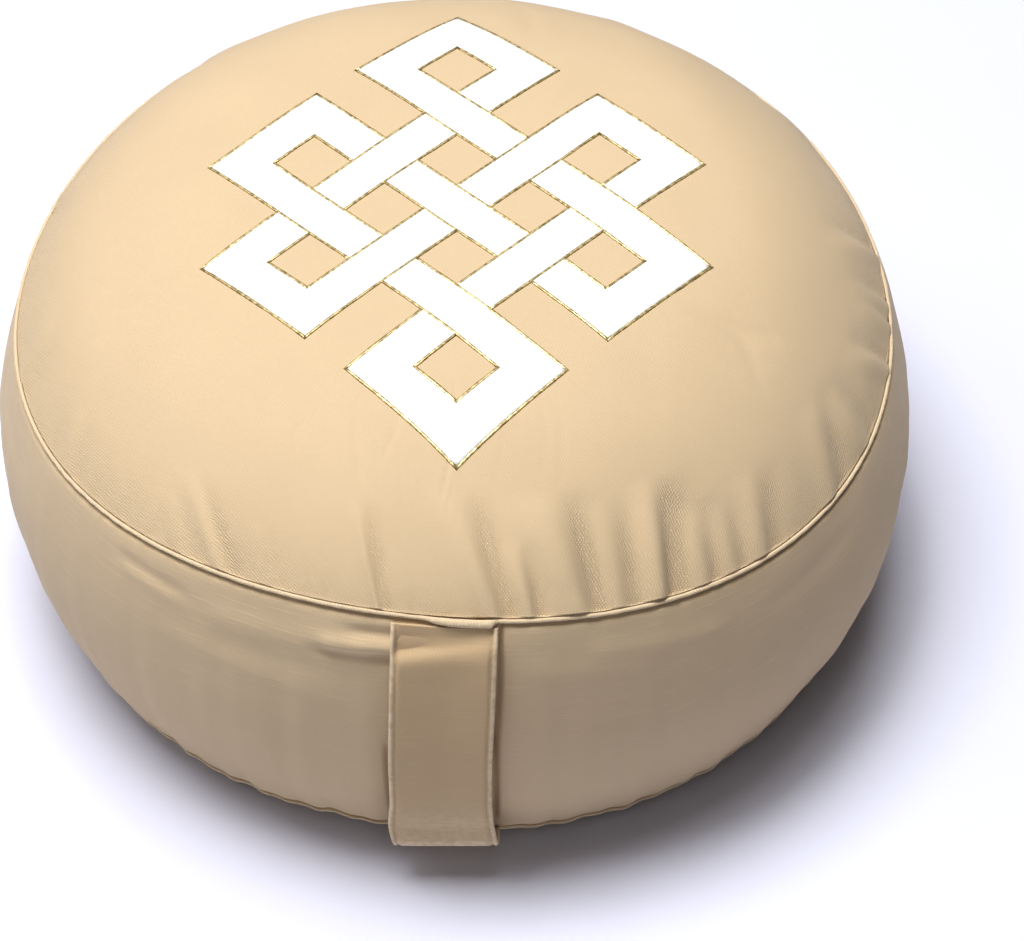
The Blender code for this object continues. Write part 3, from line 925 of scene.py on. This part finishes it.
def smooth_route(stations, steps):
    """Points of a smooth curve through the stations, each (height, reach, aside)."""
    points = [Vector(station) for station in stations]
    points = [2.0 * points[0] - points[1]] + points + [2.0 * points[-1] - points[-2]]
    route = []
    for before, start, end, after in zip(points, points[1:], points[2:], points[3:]):
        for step in range(steps):
            t = step / steps
            curve = 2.0 * start + (end - before) * t
            curve += (2.0 * before - 5.0 * start + 4.0 * end - after) * t ** 2
            curve += (3.0 * start - before - 3.0 * end + after) * t ** 3
            route.append(curve / 2.0)
    return np.array(route + [points[-2]])


strap_route = smooth_route(STRAP_ROUTE, STRAP_STEPS)
strap_run = run_lengths(strap_route[:, :2])
strap_slope = np.gradient(strap_route[:, :2], axis=0)
strap_slope /= np.linalg.norm(strap_slope, axis=1, keepdims=True)


def on_strap(across, through):
    """Points over the whole strap: one for each row of the route at each across and through."""
    strap_seam = float(top_seam(STRAP_BEARING)[1])
    height = strap_route[:, 0:1]
    near_top = 1.0 - ease(0.0, STRAP_TOP_FADE, strap_seam - height)
    roundness = 1.0 - STRAP_FLATNESS * (1.0 - near_top)
    flare = 1.0 + STRAP_FLARE * ease(STRAP_FLARE_TOP, STRAP_FLARE_FULL, height)
    aside = strap_route[:, 2:3] + across * flare
    curl = STRAP_CURL * (1.0 - near_top) * ease(0.0, STRAP_WIDTH / 2.0, across)
    curl = curl * ease(STRAP_FLARE_TOP / 2.0, STRAP_FLARE_TOP, height)
    reach = strap_route[:, 1:2] + curl - through * strap_slope[:, 0:1]
    level = height + through * strap_slope[:, 1:2]
    lift = top_seam(STRAP_BEARING + aside / reach)[1] - strap_seam
    sagitta = roundness * (reach - np.sqrt(reach ** 2 - aside ** 2))
    return np.stack((aside, sagitta - reach, level + lift * near_top), axis=-1)


def strap_relief(across):
    """How far the outer cloth stands up from its plane: bends, and the grooves of the stitches."""
    share = across / STRAP_WIDTH + 0.5
    relief = np.zeros((len(strap_run), len(across)))
    for bend in STRAP_BENDS:
        middle = bend.left + (bend.right - bend.left) * share[None, :]
        height = bend.left_height + (bend.right_height - bend.left_height) * share[None, :]
        past = strap_run[:, None] - middle
        width = np.where(past < 0.0, bend.above, bend.below)
        relief += height * np.exp(-(past / width) ** 2)
    relief *= ease(0.0, BEND_INSET, STRAP_WIDTH / 2.0 - np.abs(across))[None, :]
    line = np.abs(across) - (STRAP_WIDTH / 2.0 - STITCH_INSET)
    relief -= STITCH_GROOVE * np.exp(-(line / STITCH_GROOVE_WIDTH) ** 2)[None, :]
    return relief


def build_strap():
    """The strap's double cloth as one closed body, and how much of its paler tone each point
    takes: at its edges, and as painted light on its bend and foot.
    """
    half = STRAP_WIDTH / 2.0
    edge = STRAP_THICKNESS / 2.0
    even = np.linspace(1.0, -1.0, STRAP_LANES)
    crowded = (1.0 - LANE_CROWDING) * even + LANE_CROWDING * np.sin(math.pi / 2.0 * even)
    lanes = (half - edge) * crowded
    turns = np.linspace(0.0, math.pi, STRAP_EDGE_SIDES + 1)[1:-1]
    across = np.concatenate((lanes, edge - half - edge * np.sin(turns),
                             lanes[::-1], half - edge + edge * np.sin(turns)))
    through = np.concatenate((np.full(STRAP_LANES, edge), edge * np.cos(turns),
                              np.full(STRAP_LANES, -edge), -edge * np.cos(turns)))
    outer = (through > 0.0).astype(float)
    through = through[None, :] + strap_relief(across) * outer[None, :]
    rings = on_strap(across[None, :], through)
    girth = run_lengths(np.stack((across, through[0]), axis=1))
    girth = np.append(girth, girth[-1] + STRAP_LAST_SIDE)
    places = np.stack(np.meshgrid(strap_run, girth, indexing="ij"), axis=-1)
    body = body_from_rings("strap_cloth", rings, places[..., ::-1], "flat")
    rim = ease(half - PALE_EDGE, half - PALE_EDGE_FULL, np.abs(across))[None, :]
    height = strap_route[:, 0:1]
    # A painted highlight on the bend where the strap turns under.
    fold = ease(*FOLD_HIGHLIGHT, height) * (1.0 - ease(*FOLD_HIGHLIGHT_TOP, height))
    # Painted bounce light from the floor makes the strap's foot paler.
    foot = FOOT_BOUNCE_LIGHT * ease(FOOT_BOUNCE_HEIGHT, FOOT_BOUNCE_HEIGHT / 2.0, height)
    add_attribute(body, "wear", np.maximum(rim, np.maximum(fold, foot)))
    return body


def mixed(tree, factor, first, second):
    """Adds a mix of two colours and returns it."""
    node = add_node(tree, "ShaderNodeMix", {"data_type": "RGBA"},
                    {"Factor": factor, "A": first, "B": second})
    return node.outputs["Result"]


def strap_twill_with_painted_light():
    """The strap's twill, painted paler along its edges, with a painted highlight on its bend and
    painted bounce light on its foot.
    """
    material = twill_material("strap_twill", STRAP_COLOUR, TWILL_PITCH, STRAP_RIB_SHADE,
                              STRAP_SLUB_SHADE, STRAP_CLOUD_SHADE, STRAP_RELIEF)
    tree = material.node_tree
    specks = noise_value(tree, object_place(tree), PALE_SPECK_SCALE)
    specks = mapped(tree, specks, PALE_SPECK_RANGE, (PALE_LEAST, 1.0))
    amount = maths(tree, "MULTIPLY", specks, read_attribute(tree, "wear"))
    tone = mixed(tree, amount, STRAP_COLOUR, STRAP_PALE_COLOUR)
    set_values(tree, tree.nodes["Weave"], {"Cloth colour": tone})
    return material


strap = build_strap()
strap.data.materials.append(strap_twill_with_painted_light())
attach(strap, "root")
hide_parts("carry_strap")


# Strap stitching. One line of cotton thread along each long edge of the strap, in the groove
# that it draws in.
THREAD_RADIUS = 0.00018
THREAD_LIFT = 0.000072         # how far the thread's middle stands off the groove
STITCH_LENGTH = 0.0019
STITCH_PITCH = 0.0025
STITCH_END = 0.004             # the stitching starts and stops this far from the strap's ends
THREAD_DARK = (0.50, 0.37, 0.22, 1.0)
THREAD_PALE = (0.72, 0.56, 0.36, 1.0)
THREAD_ROUGHNESS = 0.75
THREAD_TWIST_SCALE = 2600.0
STITCH_SIDES = 6
STITCH_RINGS = 5


def thread_material():
    """Twisted cotton thread."""
    material, tree, shader = plain_material("sewing_thread", THREAD_PALE, THREAD_ROUGHNESS)
    twist = noise_value(tree, object_place(tree), THREAD_TWIST_SCALE)
    set_values(tree, shader, {"Base Color": mixed(tree, twist, THREAD_DARK, THREAD_PALE)})
    return material


def plain_mesh(piece):
    """Turns a piece into the mesh that its modifiers give, and removes them."""
    depsgraph = bpy.context.evaluated_depsgraph_get()
    mesh = bpy.data.meshes.new_from_object(piece.evaluated_get(depsgraph), depsgraph=depsgraph)
    piece.modifiers.clear()
    mesh.name = piece.name
    piece.data = mesh


def build_stitch_tree():
    """Lays a short, round-ended stitch at even steps along every line of the mesh."""
    tree, given = new_tree(
        "Stitch row", "GeometryNodeTree",
        {"Path": "Geometry", "Pitch": "Float", "Length": "Float", "Radius": "Float",
         "Thread": "Material"}, {"Stitches": "Geometry"})
    tree.is_modifier = True
    line = add_node(tree, "GeometryNodeMeshToCurve", {}, {"Mesh": given["Path"]})
    steps = add_node(tree, "GeometryNodeResampleCurve", {"mode": "LENGTH"},
                     {"Curve": line, "Length": given["Pitch"]})
    tangent = add_node(tree, "GeometryNodeInputTangent")
    turned = add_node(tree, "FunctionNodeAlignEulerToVector", {"axis": "Z"}, {"Vector": tangent})
    ball = add_node(tree, "GeometryNodeMeshUVSphere", {},
                    {"Segments": STITCH_SIDES, "Rings": STITCH_RINGS, "Radius": 1.0})
    size = add_node(tree, "ShaderNodeCombineXYZ", {},
                    {"X": given["Radius"], "Y": given["Radius"],
                     "Z": maths(tree, "MULTIPLY", given["Length"], 0.5)})
    laid = add_node(tree, "GeometryNodeInstanceOnPoints", {},
                    {"Points": steps, "Instance": ball, "Rotation": turned, "Scale": size})
    real = add_node(tree, "GeometryNodeRealizeInstances", {}, {0: laid})
    smooth = add_node(tree, "GeometryNodeSetShadeSmooth", {}, {"Geometry": real})
    dyed = add_node(tree, "GeometryNodeSetMaterial", {},
                    {"Geometry": smooth, "Material": given["Thread"]})
    add_node(tree, "NodeGroupOutput", {}, {"Stitches": dyed})
    return tree


def set_inputs(modifier, values):
    """Sets a Geometry Nodes modifier's named inputs."""
    for item in modifier.node_group.interface.items_tree:
        if item.item_type == "SOCKET" and item.in_out == "INPUT" and item.name in values:
            modifier[item.identifier] = values[item.name]


stitch_lines = np.array((STITCH_INSET - STRAP_WIDTH / 2.0, STRAP_WIDTH / 2.0 - STITCH_INSET))
stitch_lift = STRAP_THICKNESS / 2.0 + strap_relief(stitch_lines) + THREAD_LIFT
stitch_rows = on_strap(stitch_lines[None, :], stitch_lift)
inner = (strap_run > STITCH_END) & (strap_run < strap_run[-1] - STITCH_END)
stitch_points = []
stitch_edges = []
for line in range(2):
    row = stitch_rows[inner, line]
    first = len(stitch_points)
    stitch_points += [tuple(point) for point in row]
    stitch_edges += [(first + step, first + step + 1) for step in range(len(row) - 1)]
stitch_mesh = bpy.data.meshes.new("strap_stitching")
stitch_mesh.from_pydata(stitch_points, stitch_edges, [])
stitching = put_in_scene("strap_stitching", stitch_mesh)
sew = stitching.modifiers.new("sew", "NODES")
sew.node_group = build_stitch_tree()
set_inputs(sew, {"Pitch": STITCH_PITCH, "Length": STITCH_LENGTH, "Radius": THREAD_RADIUS,
                 "Thread": thread_material()})
plain_mesh(stitching)
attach(stitching, "root")


# Endless knot. A traditional woven knot of ten lines lies on the crown: a thin white layer,
# with a raised gold line along both edges of its band. Where two bands cross, the lines of
# the lower one stop at the upper one.
KNOT_PITCH = 0.0354
KNOT_WIDTH = 0.0172            # the band with its outlines
KNOT_MIDDLE = (0.0004, -0.0050)
KNOT_TURN = 0.0096             # the print sits a little askew
LINE_WIDTH = 0.0013
LINE_HEIGHT = 0.00030
LINE_STEP = 0.0016
LINE_UNEVEN = 0.22             # how unevenly wide a line is
LINE_UNEVEN_SCALE = 160.0
LINE_PAIR_SCALE = 500.0        # high, so that two lines side by side differ
# Round a line's section: shares of half its width and of its height.
LINE_SECTION = ((-1.0, 0.0), (-0.55, 1.0), (0.0, 1.25), (0.55, 1.0), (1.0, 0.0), (0.0, -1 / 3))
WHITE_LOW = 0.00002
WHITE_HIGH = 0.00020
WHITE_STEPS = 7
WHITE_COLOUR = (0.93, 0.93, 0.92, 1.0)
WHITE_ROUGHNESS = 0.55
WHITE_GRAIN_SCALE = 900.0
WHITE_GRAIN_DEPTH = 0.00005
WHITE_BUMP = 0.5
GOLD_DARK = (0.36, 0.27, 0.12, 1.0)
GOLD_PALE = (0.80, 0.66, 0.36, 1.0)
GOLD_METALLIC = 0.6
GOLD_ROUGHNESS = 0.42
GOLD_FLECK_SCALE = 620.0
GOLD_FLECK_RANGE = (0.36, 0.62)
GOLD_FLECK_DEPTH = 0.0003
GOLD_BUMP = 0.6
KNOT_EDGE = KNOT_WIDTH / 2.0 - LINE_WIDTH / 2.0
KNOT_LAY_START = 0.3           # the height from which the knot is dropped onto the cloth

# The knot's five rising and five falling lines are alike. A line has a band from one crossing
# line to another, in one or two spans.
KNOT_SPANS = {
    1: ((1, 2), (3, 4)),
    2: ((1, 5),),
    3: ((1, 5),),
    4: ((1, 5),),
    5: ((2, 3), (4, 5)),
}


def knot_point(rising, falling, lift):
    """A point of the knot laid flat, from its places across the rising and falling lines."""
    turn = KNOT_TURN - math.pi / 4.0
    x = KNOT_MIDDLE[0] + rising * math.cos(turn) + falling * math.sin(turn)
    y = KNOT_MIDDLE[1] + rising * math.sin(turn) - falling * math.cos(turn)
    return (x, y, lift)


def line_place(line):
    """How far a line of the lattice lies from the knot's middle."""
    return (line - 3) * KNOT_PITCH


def in_span(line, place):
    """Whether a line of the lattice has cloth at a place, counted in half pitches from 0."""
    if line % 2:
        return False
    return any(2 * (low - 1) <= place <= 2 * (high - 1) for low, high in KNOT_SPANS[line // 2 + 1])


def finished_mesh(name, shape):
    """The shape as a mesh, with its faces pointing outwards."""
    bmesh.ops.recalc_face_normals(shape, faces=shape.faces)
    mesh = bpy.data.meshes.new(name)
    shape.to_mesh(mesh)
    shape.free()
    return mesh


def build_knot_white():
    """A thin plate over every cell of the lattice that a band covers."""
    marks = []
    for line in KNOT_SPANS:
        marks += [line_place(line) - KNOT_EDGE, line_place(line) + KNOT_EDGE]
    ticks = []
    for low, high in zip(marks, marks[1:]):
        ticks += [low + (high - low) * step / WHITE_STEPS for step in range(WHITE_STEPS)]
    ticks.append(marks[-1])
    shape = bmesh.new()
    corners = {}

    def corner(row, column, lift):
        if (row, column, lift) not in corners:
            place = knot_point(ticks[row], ticks[column], lift)
            corners[row, column, lift] = shape.verts.new(place)
        return corners[row, column, lift]

    def covered(row, column):
        if not (0 <= row < len(ticks) - 1 and 0 <= column < len(ticks) - 1):
            return False
        rising, falling = row // WHITE_STEPS, column // WHITE_STEPS
        return in_span(rising, falling) or in_span(falling, rising)

    sides = ((-1, 0, (0, 0), (0, 1)), (1, 0, (1, 1), (1, 0)),
             (0, -1, (1, 0), (0, 0)), (0, 1, (0, 1), (1, 1)))
    for row in range(len(ticks) - 1):
        for column in range(len(ticks) - 1):
            if not covered(row, column):
                continue
            loop = ((row, column), (row + 1, column), (row + 1, column + 1), (row, column + 1))
            for lift in (WHITE_LOW, WHITE_HIGH):
                shape.faces.new([corner(*place, lift) for place in loop])
            for row_step, column_step, start, end in sides:
                if covered(row + row_step, column + column_step):
                    continue
                first = (row + start[0], column + start[1])
                last = (row + end[0], column + end[1])
                shape.faces.new((corner(*first, WHITE_LOW), corner(*last, WHITE_LOW),
                                 corner(*last, WHITE_HIGH), corner(*first, WHITE_HIGH)))
    return finished_mesh("knot_white", shape)


def turn_side(corner_line, line):
    """At a corner, the side to which the other band goes on: 1 or -1 across this band."""
    return 1 if any(low == line for low, high in KNOT_SPANS[corner_line]) else -1


def outline_pieces():
    """Straight pieces of the gold lines: (rising or not, across, start, end, start and end turn).

    A turn is 0 where the piece stops at a band that crosses over it.
    """
    spans = [(line, low, high) for line, ends in KNOT_SPANS.items() for low, high in ends]
    pieces = []
    for rising, (line, low, high), side in itertools.product((True, False), spans, (-1, 1)):
        across = line_place(line) + side * KNOT_EDGE
        turn = turn_side(low, line)
        end_turn = turn_side(high, line)
        start = line_place(low) + side * turn * KNOT_EDGE
        end = line_place(high) - side * end_turn * KNOT_EDGE
        for other in range(low + 1, high):
            under = ((line + other) % 2 == 0) == rising
            if under:
                cut = line_place(other)
                pieces.append((rising, across, start, cut - KNOT_EDGE, turn, 0))
                start, turn = cut + KNOT_EDGE, 0
        pieces.append((rising, across, start, end, turn, end_turn))
    return pieces


def build_knot_lines():
    """Low rounded cords along the pieces, mitred where they turn a corner."""
    shape = bmesh.new()
    for rising, across, start, end, start_turn, end_turn in outline_pieces():
        steps = max(2, round((end - start) / LINE_STEP))
        rows = []
        for step in range(steps + 1):
            row = []
            for width_share, height_share in LINE_SECTION:
                aside = width_share * LINE_WIDTH / 2.0
                low = start + aside * start_turn
                high = end - aside * end_turn
                run = low + (high - low) * step / steps
                spot = Vector((run * LINE_UNEVEN_SCALE, across * LINE_PAIR_SCALE, rising))
                off = across + aside * (1.0 + LINE_UNEVEN * noise.noise(spot))
                lift = height_share * LINE_HEIGHT + WHITE_LOW
                place = (off, run) if rising else (run, off)
                row.append(shape.verts.new(knot_point(*place, lift)))
            rows.append(row)
        for row, following in zip(rows, rows[1:]):
            for index in range(len(row)):
                beside = (index + 1) % len(row)
                shape.faces.new((row[index], row[beside], following[beside], following[index]))
        shape.faces.new(rows[0])
        shape.faces.new(rows[-1])
    return finished_mesh("knot_lines", shape)


def build_lay_tree():
    """Lays a flat design, drawn in its own XY plane, on the cloth below it. Its Z is its lift."""
    tree, given = new_tree(
        "Lay on cloth", "GeometryNodeTree",
        {"Design": "Geometry", "Cloth": "Object", "Start height": "Float",
         "Finish": "Material"}, {"Laid": "Geometry"})
    tree.is_modifier = True
    cloth = add_node(tree, "GeometryNodeObjectInfo", {}, {"Object": given["Cloth"]})
    place = add_node(tree, "GeometryNodeInputPosition")
    x, y, lift = add_node(tree, "ShaderNodeSeparateXYZ", {}, {0: place}).outputs
    above = add_node(tree, "ShaderNodeCombineXYZ", {},
                     {"X": x, "Y": y, "Z": given["Start height"]})
    cast = add_node(tree, "GeometryNodeRaycast", {},
                    {"Target Geometry": cloth.outputs["Geometry"], "Source Position": above,
                     "Ray Direction": (0.0, 0.0, -1.0)})
    onto = add_node(tree, "ShaderNodeVectorMath", {"operation": "ADD"},
                    {0: cast.outputs["Hit Position"],
                     1: scaled(tree, cast.outputs["Hit Normal"], lift)})
    laid = add_node(tree, "GeometryNodeSetPosition", {},
                    {"Geometry": given["Design"], "Position": onto})
    smooth = add_node(tree, "GeometryNodeSetShadeSmooth", {}, {"Geometry": laid})
    real = add_node(tree, "GeometryNodeRealizeInstances", {}, {0: smooth})
    done = add_node(tree, "GeometryNodeSetMaterial", {},
                    {"Geometry": real, "Material": given["Finish"]})
    add_node(tree, "NodeGroupOutput", {}, {"Laid": done})
    return tree


def white_material():
    """A dense white print with the weave just showing through."""
    material, tree, shader = plain_material("emblem_white", WHITE_COLOUR, WHITE_ROUGHNESS)
    grain = noise_value(tree, object_place(tree), WHITE_GRAIN_SCALE)
    add_bump(tree, shader, grain, WHITE_GRAIN_DEPTH, WHITE_BUMP)
    return material


def gold_material():
    """Metallic gold line that glitters in short flecks."""
    material, tree, shader = plain_material("emblem_gold", GOLD_PALE, GOLD_ROUGHNESS)
    fleck = noise_value(tree, object_place(tree), GOLD_FLECK_SCALE)
    tone = mixed(tree, mapped(tree, fleck, GOLD_FLECK_RANGE), GOLD_DARK, GOLD_PALE)
    set_values(tree, shader, {"Base Color": tone, "Metallic": GOLD_METALLIC})
    add_bump(tree, shader, fleck, GOLD_FLECK_DEPTH, GOLD_BUMP)
    return material


lay_tree = build_lay_tree()
for knot_name, design, finish, slot in (
    ("knot_white", build_knot_white(), white_material(), "emblem_white"),
    ("knot_outline", build_knot_lines(), gold_material(), "emblem_gold"),
):
    knot = put_in_scene(knot_name, design)
    lay = knot.modifiers.new("lay", "NODES")
    lay.node_group = lay_tree
    set_inputs(lay, {"Cloth": cover, "Start height": KNOT_LAY_START, "Finish": finish})
    plain_mesh(knot)
    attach(knot, "root")
